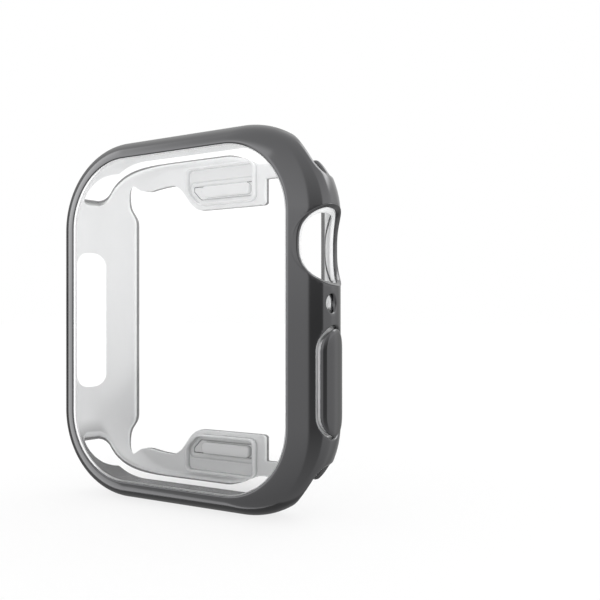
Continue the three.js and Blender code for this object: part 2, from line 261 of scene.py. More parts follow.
# Studio: reflections by azimuth in degrees from the front towards the crown side
FLOOR_HALF = 3.0
FLOOR_WHITE = (1.0, 1.0, 1.0)
FLOOR_GLOW = 0.8
STUDIO_LEVEL = 1.0
STUDIO_RISE = 2.1
STUDIO_FALL = 0.35
STUDIO_TOP = 1.5
STUDIO_TOP_FALL = -0.42
STUDIO_LEAST = 0.45
FLATS = ((42, 88), (200, 263))
BEHIND = (142, 178)
BEHIND_HEIGHTS = (0.9, 0.1)
BEHIND_SHARE = 0.42
FLAT_SOFTNESS = 3
FLAT_SHARE = 0.25
FLAT_RISE = 0.75
PANEL_SLANT = -1.2
PANEL_EDGE = (0.788, 0.828)
PANEL_LEFT = (-100, -94)
PANEL_TOP = (0.83, 0.67)
PANEL_GAIN = 0.9
REAR_PANEL = (138, 175)
REAR_PANEL_HEIGHTS = (0.45, 0.8)
REAR_PANEL_SOFTNESS = 0.1
REAR_PANEL_GAIN = 2.5

# Camera, placed in the part's frame
CAMERA_PLACE = (55.3, -73.3, 23.0)
CAMERA_AZIMUTH = 28.82
LENS = 43.06
SENSOR_WIDTH = 36
HORIZON_SHIFT = 0.0332
CLIP_START = 0.005


# Curves in a plane, as arrays of points
def arc(centre_x, centre_y, radius, start, end):
    """Points of a circle's arc: centre + radius (cos a, sin a), a from start to end in degrees."""
    angle = np.radians(np.linspace(start, end, CURVE_STEPS + 1))
    return np.column_stack([centre_x + radius * np.cos(angle), centre_y + radius * np.sin(angle)])


def bezier(*controls):
    """Points of a Bezier curve: the sum of its controls, weighted by Bernstein polynomials."""
    t = np.linspace(0, 1, CURVE_STEPS + 1)[:, None]
    degree = len(controls) - 1
    points = np.zeros((len(t), 2))
    for k, control in enumerate(controls):
        points += math.comb(degree, k) * t**k * (1 - t) ** (degree - k) * np.array(control)
    return points


def rounded_rectangle(centre_x, centre_y, half_width, half_height, radius):
    """A rectangle's outline with each corner a quarter circle, counter-clockwise."""
    x, y = half_width - radius, half_height - radius
    corners = ((x, -y, -90), (x, y, 0), (-x, y, 90), (-x, -y, 180))
    return np.vstack([arc(centre_x + x, centre_y + y, radius, turn, turn + 90) for x, y, turn in corners])


def back_opening():
    """Outline of the opening in the back plate, in width and height. The upper half is a rail, lobe, wave,
    slope, tab and notch, and the lower half is its mirror image."""
    rail = SPEAKER_RAIL
    lobe = rail - LOBE_REACH
    run = TAB_CORNER_RUN
    wave_end = (-TAB_SLOPE_TOP - run, WAVE_HIGH)
    slope_start = (-TAB_SLOPE_TOP + run, WAVE_HIGH - run)
    slope_end = (-TAB_SLOPE_FOOT - run, TAB_EDGE + run)
    tab_start = (-TAB_SLOPE_FOOT + run, TAB_EDGE)
    notch_start = (CROWN_RAIL - NOTCH_RADIUS, NOTCH_TOP)
    notch_end = (CROWN_RAIL, NOTCH_TOP - NOTCH_RADIUS)
    middle = RAIL_STRAIGHT + LOBE_HEIGHT / 2
    upper = np.vstack([
        bezier((rail, RAIL_STRAIGHT), (rail, middle), (lobe, middle), (lobe, RAIL_STRAIGHT + LOBE_HEIGHT)),
        bezier((lobe, RAIL_STRAIGHT + LOBE_HEIGHT), (lobe, LOBE_SHOULDER), (rail, LOBE_TOP)),
        bezier(
            (rail, LOBE_TOP),
            (rail + LOBE_TOP_WIDTH, LOBE_SHOULDER),
            (rail + LOBE_TOP_WIDTH, WAVE_LOW),
            (rail + WAVE_LOW_REACH, WAVE_LOW),
        ),
        bezier((rail + WAVE_LOW_REACH, WAVE_LOW), (rail + WAVE_HIGH_REACH, WAVE_HIGH), wave_end),
        bezier(wave_end, (-TAB_SLOPE_TOP, WAVE_HIGH), slope_start),
        bezier(slope_end, (-TAB_SLOPE_FOOT, TAB_EDGE), tab_start),
        [(TAB_CROWN_END, TAB_EDGE), (TAB_CROWN_END, NOTCH_TOP)],
        bezier(notch_start, (CROWN_RAIL, NOTCH_TOP), notch_end),
    ])
    return np.vstack([upper, upper[::-1] * (1, -1)])


def band_slot():
    """Outline of the upper band slot in depth and height: behind the ring, round two corners and over the
    plate."""
    above = HALF_HEIGHT + EDGE_REACH + CASE_DEPTH
    behind = CASE_DEPTH + CASE_DEPTH
    r = SLOT_CORNER
    side = SLOT_FOOT + r
    return np.vstack([
        [(RING_REAR, above)],
        bezier((RING_REAR, RING_CURVE_START), (SLOT_FRONT, RING_CURVE_START), (SLOT_FRONT, side)),
        arc(SLOT_FRONT + r, side, r, 180, 270),
        arc(SLOT_REAR - r, side, r, 270, 360),
        bezier((SLOT_REAR, side), (SLOT_REAR, PLATE_HALF_HEIGHT), (CASE_DEPTH, PLATE_HALF_HEIGHT)),
        [(behind, PLATE_HALF_HEIGHT), (behind, above)],
    ])


def pad_outline(margin, top=PAD_TOP):
    """The upper pad's outline drawn in by a margin: a rounded rectangle with a corner cut at 45 degrees."""
    left = PAD_LEFT + margin
    right = PAD_RIGHT - margin
    low = PAD_BOTTOM + margin
    high = top - margin
    cut = PAD_CHAMFER - 2 * margin * math.tan(math.pi / 8)
    r = max(PAD_RADIUS - margin, PAD_GAP)
    return np.vstack([
        bezier((left, low + cut + r), (left, low + cut), (left + r, low + cut - r)),
        bezier((left + cut - r, low + r), (left + cut, low), (left + cut + r, low)),
        arc(right - r, low + r, r, -90, 0),
        arc(right - r, high - r, r, 0, 90),
        arc(left + r, high - r, r, 90, 180),
    ])


def crown_outline(grow):
    """The crown hole's outline in depth and height, its half sizes grown by an amount: a superellipse with
    x = a |cos t|^(2/p) and y = b |sin t|^(2/p), each with its own sign. It is fuller than a circle."""
    t = np.linspace(0, 2 * math.pi, CROWN_STEPS, endpoint=False)
    across, up = (np.sign(wave) * np.abs(wave) ** (2 / CROWN_POWER) for wave in (np.cos(t), np.sin(t)))
    return np.column_stack([
        CROWN_DEPTH + (CROWN_HALF_DEPTH + grow) * across,
        CROWN_HEIGHT + (CROWN_HALF_HEIGHT + grow) * up,
    ])


def pill(centre_x, centre_y, half_width, half_length):
    """An upright pill's outline."""
    reach = half_length - half_width
    return np.vstack([
        arc(centre_x, centre_y + reach, half_width, 0, 180),
        arc(centre_x, centre_y - reach, half_width, 180, 360),
    ])


def smooth_step(value, start, end):
    """0 up to the start, 1 past the end, and 3t^2 - 2t^3 between them."""
    t = np.clip((value - start) / (end - start), 0, 1)
    return t * t * (3 - 2 * t)


def outline_distance(x, y, outline):
    """Signed distance to an outline, positive outside it: the distance to the nearest of its segments,
    negative where a ray crosses it an odd number of times. Also its slope: the unit vector away from the
    nearest point, turned round inside."""
    best = np.full(x.shape, np.inf)
    slope_x = np.zeros(x.shape)
    slope_y = np.zeros(x.shape)
    inside = np.zeros(x.shape, bool)
    for (ax, ay), (bx, by) in zip(outline, np.roll(outline, -1, axis=0)):
        ex, ey = bx - ax, by - ay
        squared = ex * ex + ey * ey
        if squared == 0:
            continue
        t = np.clip(((x - ax) * ex + (y - ay) * ey) / squared, 0, 1)
        away_x, away_y = x - ax - t * ex, y - ay - t * ey
        distance = np.hypot(away_x, away_y)
        nearer = distance < best
        best = np.where(nearer, distance, best)
        slope_x = np.where(nearer, away_x, slope_x)
        slope_y = np.where(nearer, away_y, slope_y)
        if ay != by:
            inside ^= ((ay > y) != (by > y)) & (x < ax + (y - ay) * ex / ey)
    signed = np.where(inside, -best, best)
    scale = np.where(np.abs(signed) > TINY, signed, TINY)
    return signed, slope_x / scale, slope_y / scale


# The form's surface: stations run round the outline, rows run from the window edge to the flat back
def stations(spacing):
    """Stations round the closed outline: the share of the straight that each stands at, in width and
    height, and its outward angle. Straights and quarter circles follow each other."""
    side = round((HALF_HEIGHT - WIDEST_RADIUS) / spacing)
    end = round(2 * (HALF_WIDTH - WIDEST_RADIUS) / spacing)
    turn = round(WIDEST_RADIUS * math.pi / 2 / spacing)
    parts = []
    for quarter in range(4):
        start = quarter * math.pi / 2
        sign_x = (1, -1, -1, 1)[quarter]
        sign_z = (1, 1, -1, -1)[quarter]
        angle = start + np.arange(turn) / turn * math.pi / 2
        parts.append(np.column_stack([np.full(turn, sign_x), np.full(turn, sign_z), angle]))
        along_width = quarter % 2 == 0
        count = end if along_width else 2 * side
        share = np.arange(count) / count
        slide_x = sign_x * (1 - 2 * share) if along_width else np.full(count, sign_x)
        slide_z = np.full(count, sign_z) if along_width else sign_z * (1 - 2 * share)
        parts.append(np.column_stack([slide_x, slide_z, np.full(count, start + math.pi / 2)]))
    return np.vstack(parts)


def rows(spacing):
    """Rows of the section, from the window's edge to the flat back: whether a row is behind the widest
    one, its angle on the quarter ellipse, and its inset on the flat back."""
    front = np.linspace(WINDOW_ANGLE, math.pi / 2, round(FRONT_ARC / spacing) + 1)
    rear = np.linspace(0, math.pi / 2, round(REAR_ARC / spacing) + 1)[1:]
    inset = np.linspace(0, FLAT_REACH, round(FLAT_REACH / spacing) + 1)[1:]
    return np.vstack([
        np.column_stack([np.zeros(len(front)), front, np.zeros(len(front))]),
        np.column_stack([np.ones(len(rear)), rear, np.zeros(len(rear))]),
        np.column_stack([np.ones(len(inset)), np.full(len(inset), math.pi / 2), inset]),
    ])


def outline_sizes(share, behind, drawn=(0, 0, 0)):
    """Half width, half height and corner radius of the outline at a share of the way from the front end,
    or behind from the rear end, to the widest outline, which is drawn in by three amounts."""
    sizes = []
    for near, far, wide, less in zip(FRONT_END, REAR_END, WIDEST, drawn):
        end = np.where(behind, far, near)
        sizes.append(end + (wide - less - end) * share)
    return sizes


def on_outline(sizes, station, inset=0):
    """Width and height at each station: the corner's centre, plus the corner's radius less an inset along
    the station's angle."""
    width, height, radius = sizes
    x = station[:, 0] * (width - radius) + (radius - inset) * np.cos(station[:, 2])
    z = station[:, 1] * (height - radius) + (radius - inset) * np.sin(station[:, 2])
    return x, z


def form(row, station, side=0.0, end=0.0, front=0.0, back=0.0, thin_front=False):
    """Points of the form, drawn in at its sides, ends, front and back, in an array of rows and stations.
    A row's share is the sine (front) or cosine (back) of its angle. With a thin front the amounts for
    sides and ends fade out towards the window."""
    behind, angle, inset = row[:, 0] > 0, row[:, 1], row[:, 2]
    share = np.where(behind, np.cos(angle), np.sin(angle))
    window_share = math.sin(WINDOW_ANGLE)
    fade = (share - window_share) / (1 - window_share)
    amount = np.where(behind, 1, fade if thin_front else 1)
    drawn = [less * amount for less in (side, end, side)]
    sizes = [(size - inset)[:, None] for size in outline_sizes(share, behind, drawn)]
    depth = np.where(
        behind,
        WIDEST_DEPTH + (CASE_DEPTH - back - WIDEST_DEPTH) * np.sin(angle),
        front + (WIDEST_DEPTH - front) * (1 - np.cos(angle)),
    )[:, None]
    x, z = on_outline(sizes, station)
    return np.stack([x, depth + np.zeros_like(x), z], axis=-1)


def crown_side_x(y, z):
    """Width of the form on the crown side at a depth and height: the row's share from the depth, then its
    outline's width there."""
    behind = y >= WIDEST_DEPTH
    reach = np.where(behind, CASE_DEPTH - WIDEST_DEPTH, WIDEST_DEPTH)
    share = np.sqrt(np.clip(1 - ((y - WIDEST_DEPTH) / reach) ** 2, 0, 1))
    width, height, radius = outline_sizes(share, behind)
    beyond = np.clip(np.abs(z) - (height - radius), 0, radius)
    return width - radius + np.sqrt(radius**2 - beyond**2)


# Edge distances of the holes, on the outer surface
def hole_slopes(points):
    """For each hole: the distance to its outline in the plane that it is cut through, that distance's
    slope as a vector, and the reach of its rounded edge. A hole counts only where its wall is. Towards the
    crown side the back plate's end drops, and the band slot's front edge comes forward and is rounder."""
    x, y, z = points[..., 0], points[..., 1], points[..., 2]
    everywhere = np.ones(x.shape, bool)
    upper = np.sign(z)
    rear_part = y > WIDEST_DEPTH + SIDE_WALL
    crown_side = x > 0
    speaker = rounded_rectangle(SPEAKER_DEPTH, 0, SPEAKER_HALF_WIDTH, SPEAKER_HALF_LENGTH, SPEAKER_RADIUS)
    button = pill(BUTTON_DEPTH, BUTTON_HEIGHT, BUTTON_HALF_WIDTH, BUTTON_HALF_LENGTH)
    mic = pill(MIC_DEPTH, MIC_HEIGHT, MIC_RADIUS, MIC_RADIUS)
    drop = PLATE_DROP * smooth_step(x, *PLATE_DROP_WIDTHS) * smooth_step(y, *PLATE_DROP_DEPTHS)
    forward = SLOT_SHIFT * smooth_step(x, *SLOT_SHIFT_WIDTHS) * smooth_step(y, *SLOT_SHIFT_DEPTHS)
    widened = (SLOT_REACH - EDGE_REACH) * forward / SLOT_SHIFT
    holes = [
        (band_slot(), DEPTH, y + forward, np.abs(z) + drop, upper, everywhere, EDGE_REACH + widened),
        (speaker, DEPTH, y, z, 1, ~crown_side, OPENING_REACH),
        (crown_outline(CROWN_LIP_TUBE), DEPTH, y, z, 1, crown_side, CROWN_REACH),
        (mic, DEPTH, y, z, 1, crown_side, MIC_REACH),
        (button, DEPTH, y, z, 1, crown_side, BUTTON_REACH),
        (back_opening(), WIDTH, x, z, 1, rear_part, OPENING_REACH),
        (pad_outline(-PAD_GAP), WIDTH, x, np.abs(z), upper, rear_part, GROOVE_REACH),
    ]
    result = []
    for outline, axis, across, height, side, where, reach in holes:
        distance, slope_across, slope_height = outline_distance(across, height, outline)
        slope = np.zeros_like(points)
        slope[..., axis] = slope_across
        slope[..., HEIGHT] = slope_height * side
        result.append((np.where(where, distance, FAR), slope, reach))
    return result


def surface_normals(points):
    """Unit normals of a grid that closes along its stations: cross products of its central differences."""
    along = np.roll(points, -1, axis=1) - np.roll(points, 1, axis=1)
    normal = np.cross(along, np.gradient(points, axis=0))
    return normal / np.maximum(np.linalg.norm(normal, axis=-1, keepdims=True), TINY)


def edge_field(points, holes):
    """Distance along the surface to where the nearest hole's rounded edge starts, the unit vector towards
    that hole, and the edge's reach. A plane distance is divided by its slope along the surface."""
    level = np.full(points.shape[:2], np.inf)
    towards = np.zeros_like(points)
    reaches = np.zeros(points.shape[:2])
    normal = surface_normals(points)
    for distance, slope, reach in holes:
        along = slope - (slope * normal).sum(-1, keepdims=True) * normal
        steepness = np.linalg.norm(along, axis=-1)
        beyond = distance / np.clip(steepness, LEAST_SLOPE, 1) - reach
        nearer = beyond < level
        level = np.where(nearer, beyond, level)
        unit = -along / np.maximum(steepness, TINY)[..., None]
        towards = np.where(nearer[..., None], unit, towards)
        reaches = np.where(nearer, reach, reaches)
    return level, towards, reaches


# Meshes from grids
def grid_triangles(row_count, station_count):
    """Triangles of a grid that closes along its stations, two to a cell, facing out when the rows run
    backwards and the stations turn left."""
    r, s = np.meshgrid(np.arange(row_count - 1), np.arange(station_count), indexing="ij")
    n = (s + 1) % station_count
    a, b = r * station_count + s, r * station_count + n
    c, d = a + station_count, b + station_count
    return np.vstack([
        np.column_stack([a.ravel(), c.ravel(), b.ravel()]),
        np.column_stack([b.ravel(), c.ravel(), d.ravel()]),
    ])


def directed_edges(triangles):
    """The three edges of each triangle, in its direction."""
    return np.vstack([triangles[:, [0, 1]], triangles[:, [1, 2]], triangles[:, [2, 0]]])


def clip(attributes, triangles, level):
    """Keeps the part of a triangle mesh where the level is positive. Each crossed edge gets one new vertex
    at the crossing, or its inner end where the crossing is very near to it."""
    inside = level > 0
    count = inside[triangles].sum(1)
    crossed = triangles[(count > 0) & (count < 3)]
    edges = np.sort(directed_edges(crossed), axis=1)
    edges = np.unique(edges[inside[edges[:, 0]] != inside[edges[:, 1]]], axis=0)
    keep_first = inside[edges[:, 0]]
    inner = np.where(keep_first, edges[:, 0], edges[:, 1])
    outer = np.where(keep_first, edges[:, 1], edges[:, 0])
    t = (level[inner] / (level[inner] - level[outer]))[:, None]
    fresh = attributes[inner] * (1 - t) + attributes[outer] * t
    fresh_index = np.where(t[:, 0] < SNAP_SHARE, inner, len(attributes) + np.arange(len(edges)))
    key = edges[:, 0].astype(np.int64) * len(attributes) + edges[:, 1]

    def on_edge(a, b):
        pair = np.minimum(a, b).astype(np.int64) * len(attributes) + np.maximum(a, b)
        return fresh_index[np.searchsorted(key, pair)]

    kept = [triangles[count == 3]]
    for turn in range(3):
        a, b, c = (crossed[:, (turn + k) % 3] for k in range(3))
        one = inside[a] & ~inside[b] & ~inside[c]
        kept.append(np.column_stack([a[one], on_edge(a[one], b[one]), on_edge(a[one], c[one])]))
        two = ~inside[a] & inside[b] & inside[c]
        first, last = on_edge(a[two], b[two]), on_edge(a[two], c[two])
        kept.append(np.column_stack([first, b[two], c[two]]))
        kept.append(np.column_stack([first, c[two], last]))
    result = np.vstack(kept)
    result = result[(result != np.roll(result, 1, axis=1)).all(1)]
    attributes = np.vstack([attributes, fresh])
    used, packed = np.unique(result, return_inverse=True)
    return attributes[used], packed.reshape(-1, 3)


def boundary_edges(triangles):
    """Directed edges that only one triangle uses."""
    directed = directed_edges(triangles)
    _, index, uses = np.unique(np.sort(directed, axis=1), axis=0, return_index=True, return_counts=True)
    return directed[index[uses == 1]]


def skin_profile():
    """Section of the skin's edge, as shares of the way to its inner sheet and of the edge's reach: a
    quarter ellipse down over the wall, a flat end, and a smaller quarter ellipse back."""
    angle = np.linspace(0, math.pi / 2, EDGE_STEPS + 1)
    outer = np.column_stack([SKIN_WRAP * (1 - np.cos(angle)), np.sin(angle)])[1:]
    tuck = 1 - SKIN / EDGE_REACH
    back = angle[::-1]
    inner = np.column_stack([SKIN + (SKIN_WRAP - SKIN) * (1 - np.cos(back)), tuck * np.sin(back)])[:-1]
    return np.vstack([outer, inner]) / (SKIN, 1)


def body_profile():
    """Section of the clear body's edge: under the skin's end, out beside it and round to the inner face."""
    angle = np.linspace(0, math.pi / 2, EDGE_STEPS)
    beside = SKIN_WRAP + SKIN_SEAM
    top = np.array([(SKIN_WRAP - SKIN_SEAM, TUCK_SHARE), (beside, TUCK_SHARE)])
    shoulder = np.array([(beside, BODY_SHARE - TUCK_SHARE), (beside + SKIN_SEAM, BODY_SHARE)])
    curve = np.column_stack([
        SIDE_WALL - BODY_ROUND + BODY_ROUND * np.sin(angle),
        BODY_SHARE - BODY_ROUND / EDGE_REACH * (1 - np.cos(angle)),
    ])
    pairs = np.vstack([top, shoulder, curve])
    pairs[:, 0] = (pairs[:, 0] - BODY_START) / (SIDE_WALL - BODY_START)
    return pairs


def ring_of(sizes, station, inset, depth):
    """Points of the outline with these sizes, drawn in by an inset, at a depth, one at each station."""
    x, z = on_outline(sizes, station, inset)
    return np.column_stack([x, np.full(len(x), depth), z])


def window_sizes(side):
    """Sizes of the window's edge on a sheet drawn in by an amount."""
    return outline_sizes(math.sin(WINDOW_ANGLE), False, (side, side, side))


def wall(outer, inner, station, field, profile, front_rings):
    """A closed wall between two sheets that share a grid, clipped where the field falls under zero. Along
    a clipped edge the profile carries one sheet's boundary to the other's: each of its rows is the outer
    point, plus a share of the way to the inner one, plus a share of the edge's reach towards the hole.
    Along the window the given rings do the same. The last block of faces is the inner sheet."""
    level, towards, reaches = field
    row_count, count = level.shape
    columns = np.hstack([
        outer.reshape(-1, 3),
        inner.reshape(-1, 3),
        towards.reshape(-1, 3),
        reaches.reshape(-1, 1),
        np.tile(station, (row_count, 1)),
        np.repeat(np.arange(row_count) == 0, count)[:, None],
    ])
    triangles = grid_triangles(row_count, count)
    columns, triangles = clip(columns, triangles, level.ravel())
    outer, inner, towards = columns[:, 0:3], columns[:, 3:6], columns[:, 6:9]
    reaches, kept_station, at_window = columns[:, 9:10], columns[:, 10:13], columns[:, 13] > 1 - TINY
    towards = towards / np.maximum(np.linalg.norm(towards, axis=1, keepdims=True), TINY)
    edges = boundary_edges(triangles)
    front = at_window[edges].all(1)
    vertices = [outer, inner]
    total = 2 * len(outer)
    faces = [triangles]
    for some_edges, is_front in ((edges[~front], False), (edges[front], True)):
        rim = np.unique(some_edges)
        place = np.zeros(len(outer), int)
        place[rim] = np.arange(len(rim))
        if is_front:
            rings = front_rings(kept_station[rim])
        else:
            gap = inner[rim] - outer[rim]
            ahead = reaches[rim] * towards[rim]
            rings = [outer[rim] + share * gap + reach * ahead for share, reach in profile]
        before = some_edges
        for ring in rings:
            vertices.append(ring)
            after = total + place[some_edges]
            faces.append(quads_between(before, after))
            before = after
            total += len(rim)
        faces.append(quads_between(before, some_edges + len(outer)))
    return np.vstack(vertices), [*faces, triangles[:, ::-1] + len(outer)]


def quads_between(before, after):
    """Quads from one row of directed edges to the next."""
    return np.column_stack([before[:, 1], before[:, 0], after[:, 0], after[:, 1]])


def evenly(outline):
    """Points spaced evenly along a closed outline, from where it crosses its middle height on the right."""
    closed = np.vstack([outline, outline[:1]])
    along = np.concatenate([[0], np.cumsum(np.hypot(*np.diff(closed, axis=0).T))])
    middle = (outline.min(0) + outline.max(0)) / 2
    low, high = closed[:-1, 1] - middle[1], closed[1:, 1] - middle[1]
    crossing = np.flatnonzero((low < 0) & (high >= 0) & (closed[:-1, 0] > middle[0]))[0]
    share = low[crossing] / (low[crossing] - high[crossing])
    start = along[crossing] + share * (along[crossing + 1] - along[crossing])
    target = (start + np.arange(OUTLINE_POINTS) / OUTLINE_POINTS * along[-1]) % along[-1]
    return np.column_stack([np.interp(target, along, closed[:, k]) for k in (0, 1)])


def loft(rings, closed=False):
    """A surface through rings of the same number of points. It closes on itself, or ends in flat caps."""
    count = len(rings[0])
    base = np.arange(count)
    ahead = (base + 1) % count
    faces = []
    links = len(rings) if closed else len(rings) - 1
    for k in range(links):
        low, high = k * count, (k + 1) % len(rings) * count
        faces.append(np.column_stack([low + base, low + ahead, high + ahead, high + base]))
    if not closed:
        faces.append([base[::-1].tolist()])
        faces.append([(base + (len(rings) - 1) * count).tolist()])
    return np.vstack(rings), faces


def flat_ring(outline, depth, sign):
    """An outline in width and height as points at a depth, on the upper half or mirrored to the lower."""
    return np.column_stack([outline[:, 0], np.full(len(outline), depth), sign * outline[:, 1]])


def rounded(size):
    """Inset and rise of a quarter circle's points, from the foot of its side to its top."""
    angle = np.linspace(0, math.pi / 2, EDGE_STEPS)
    return list(zip(size * (1 - np.cos(angle)), size * np.sin(angle)))


def pill_stations(reach):
    """Stations round an upright pill: the slide along its middle line and the outward angle."""
    side = round(2 * reach / PILL_SPACING)
    slide = np.linspace(-reach, reach, side + 1)
    turn = np.linspace(0, math.pi, CURVE_STEPS + 1)[1:-1]
    return np.vstack([
        np.column_stack([slide, np.zeros(side + 1)]),
        np.column_stack([np.full(len(turn), reach), turn]),
        np.column_stack([slide[::-1], np.full(side + 1, math.pi)]),
        np.column_stack([np.full(len(turn), -reach), turn + math.pi]),
    ])


def pill_ring(station, radius, height):
    """A ring round the button's middle line at a radius, standing a height above the form's crown side."""
    y = BUTTON_DEPTH + radius * np.cos(station[:, 1])
    z = BUTTON_HEIGHT + station[:, 0] + radius * np.sin(station[:, 1])
    return np.column_stack([crown_side_x(y, z) + height, y, z])


def add_object(name, data):
    """An object in the scene with its data."""
    thing = bpy.data.objects.new(name, data)
    bpy.context.scene.collection.objects.link(thing)
    return thing


def piece(name, shape, slot, node, body="case_body", backed=False):
    """A mesh object from a shape: vertices in millimetres, moved to the part's frame, and blocks of faces.
    Its seams are merged and its normals point outwards. The last block of a backed piece is the plating's
    inner face."""
    vertices, faces = shape
    placed = (np.asarray(vertices) + (0, -CASE_DEPTH / 2, HALF_HEIGHT)) * MILLIMETRE
    polygons, indices = [], []
    for number, block in enumerate(faces):
        rows_of_block = block.tolist() if isinstance(block, np.ndarray) else block
        polygons.extend(rows_of_block)
        is_inner = backed and number == len(faces) - 1
        indices.extend([int(is_inner)] * len(rows_of_block))
    mesh = bpy.data.meshes.new(name)
    mesh.from_pydata(placed.tolist(), [], polygons)
    mesh.polygons.foreach_set("material_index", indices)
    mesh.polygons.foreach_set("use_smooth", np.ones(len(polygons), bool))
    work = bmesh.new()
    work.from_mesh(mesh)
    bmesh.ops.remove_doubles(work, verts=work.verts, dist=MERGE_DISTANCE)
    bmesh.ops.recalc_face_normals(work, faces=work.faces)
    work.to_mesh(mesh)
    work.free()
    thing = add_object(name, mesh)
    mesh.materials.append(finishes[slot])
    if backed:
        mesh.materials.append(backing)
    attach(thing, body)
    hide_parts(node)


# Shader nodes, for the materials and the studio
def new_material(name):
    """A node material, its tree and its Principled shader."""
    material = bpy.data.materials.new(name)
    material.use_nodes = True
    tree = material.node_tree
    return material, tree, tree.nodes["Principled BSDF"]


def fill(tree, node, inputs):
    """Gives each of some inputs of a node its value, or links it to what another node gives."""
    for name, value in inputs.items():
        if isinstance(value, bpy.types.NodeSocket):
            tree.links.new(value, node.inputs[name])
        else:
            node.inputs[name].default_value = value


def add_node(tree, kind, inputs):
    """A new node with some inputs filled."""
    node = tree.nodes.new(kind)
    fill(tree, node, inputs)
    return node


def add_noise(tree, scale, detail):
    """A noise texture on the piece's own Object coordinates, in metres."""
    place = tree.nodes.new("ShaderNodeTexCoord").outputs["Object"]
    noise = add_node(tree, "ShaderNodeTexNoise", {"Scale": scale, "Detail": detail, "Vector": place})
    return noise.outputs["Fac"]


def spread(tree, value, low, high):
    """Maps a value from 0 to 1 onto a range."""
    node = add_node(tree, "ShaderNodeMapRange", {"Value": value, "To Min": low, "To Max": high})
    return node.outputs["Result"]


def smooth(tree, value, low, high):
    """0 where a value is at the first bound, 1 where it is at the second, smooth between them."""
    node = add_node(tree, "ShaderNodeMapRange", {"Value": value, "From Min": low, "From Max": high})
    node.interpolation_type = "SMOOTHSTEP"
    return node.outputs["Result"]


def band(tree, value, low, high, soft):
    """1 where a value is between two bounds and 0 outside them, with soft edges."""
    rising = smooth(tree, value, low - soft, low + soft)
    falling = smooth(tree, value, high + soft, high - soft)
    return product(tree, rising, falling)


def components(tree, vector):
    """The x, y and z of a vector."""
    return add_node(tree, "ShaderNodeSeparateXYZ", {"Vector": vector}).outputs


def math_node(tree, operation, *values):
    """A math operation on values, each a number or what another node gives."""
    node = add_node(tree, "ShaderNodeMath", dict(enumerate(values)))
    node.operation = operation
    return node.outputs[0]


def product(tree, first, *others):
    """The product of several values."""
    for other in others:
        first = math_node(tree, "MULTIPLY", first, other)
    return first


# Finishes
def new_finish(name, noise_size, roughness, bump=0):
    """A material whose roughness varies with a noise, which also makes its surface finely uneven where
    there is a bump."""
    material, tree, shader = new_material(name)
    noise = add_noise(tree, *noise_size)
    fill(tree, shader, {"Roughness": spread(tree, noise, *roughness)})
    if bump:
        uneven = add_node(tree, "ShaderNodeBump", {"Strength": 1, "Distance": bump, "Height": noise})
        fill(tree, shader, {"Normal": uneven.outputs["Normal"]})
    return material, tree, shader


def plated_material():
    """Plated skin: dark grey mirror-like metal layer with a faintly uneven gloss."""
    material, tree, shader = new_finish("plated_dark_grey", PLATED_NOISE, PLATED_ROUGHNESS, PLATED_BUMP)
    fill(tree, shader, {"Base Color": (*PLATED_GREY, 1), "Metallic": 1})
    return material


def backing_material():
    """Inner face of the plating, seen through the clear moulding: pale and silvery."""
    material, tree, shader = new_finish("plating_inner_face", BACKING_NOISE, BACKING_ROUGHNESS)
    fill(tree, shader, {"Base Color": (*BACKING_GREY, 1), "Metallic": BACKING_METAL})
    return material


def shaded_places(tree, place):
    """Where painted shade falls on the moulding, from 0 to 1: at the front of its lower end, on faces that
    look up, and in a narrow dark band along the crown side's rail."""
    # Painted shade on up-facing faces at the lower end, and in a dark band along the crown side's rail
    width, depth, _ = components(tree, place.outputs["Object"])
    _, _, facing_up = components(tree, place.outputs["Normal"])
    lower_end_shade = product(tree, smooth(tree, facing_up, *SHADED_FACING), smooth(tree, depth, *SHADED_DEPTH))
    across = [smooth(tree, width, *edge) for edge in RAIL_SHADE_WIDTHS]
    painted_rail_shade = product(tree, smooth(tree, depth, *RAIL_SHADE_DEPTH), *across)
    return math_node(tree, "MAXIMUM", lower_end_shade, painted_rail_shade)


def moulding_material():
    """Clear moulding: pale, part see-through, with faint flow marks. It has painted shade: it is darker
    where it is seen edge-on, standing in for refraction at its edges, and in its shaded places. It also has
    a painted glow, an emission that makes it brighter towards its top."""
    material, tree, shader = new_finish("clear_moulding", MOULDING_NOISE, MOULDING_ROUGHNESS, MOULDING_BUMP)
    place = tree.nodes.new("ShaderNodeTexCoord")
    # Painted shade: the colour turns darker where the moulding is seen edge-on
    facing = add_node(tree, "ShaderNodeLayerWeight", {"Blend": MOULDING_BLEND})
    ramp = add_node(tree, "ShaderNodeValToRGB", {"Fac": facing.outputs["Facing"]})
    ramp.color_ramp.elements[0].color = (*MOULDING_FACE, 1)
    ramp.color_ramp.elements[1].color = (*MOULDING_EDGE_SHADE, 1)
    # Painted shade mixed in at the shaded places
    shaded = tree.nodes.new("ShaderNodeMix")
    shaded.data_type = "RGBA"
    fill(tree, shaded, {
        "Factor": shaded_places(tree, place),
        COLOUR_SOCKETS[0]: ramp.outputs["Color"],
        COLOUR_SOCKETS[1]: (*SHADED_GREY, 1),
    })
    # Painted glow: emission that rises towards the moulding's top
    _, _, height = components(tree, place.outputs["Object"])
    fill(tree, shader, {
        "Base Color": shaded.outputs[COLOUR_RESULT],
        "Emission Color": (1, 1, 1, 1),
        "Emission Strength": product(tree, smooth(tree, height, *PAINTED_GLOW_HEIGHTS), MOULDING_PAINTED_GLOW),
        "Transmission Weight": MOULDING_CLEAR,
        "IOR": MOULDING_IOR,
    })
    return material


def film_material():
    """Clear polished film."""
    material, tree, shader = new_finish("clear_film", FILM_NOISE, FILM_ROUGHNESS)
    fill(tree, shader, {"Base Color": (1, 1, 1, 1), "Transmission Weight": 1, "IOR": FILM_IOR})
    return material


plated = plated_material()
backing = backing_material()
moulding = moulding_material()
film = film_material()

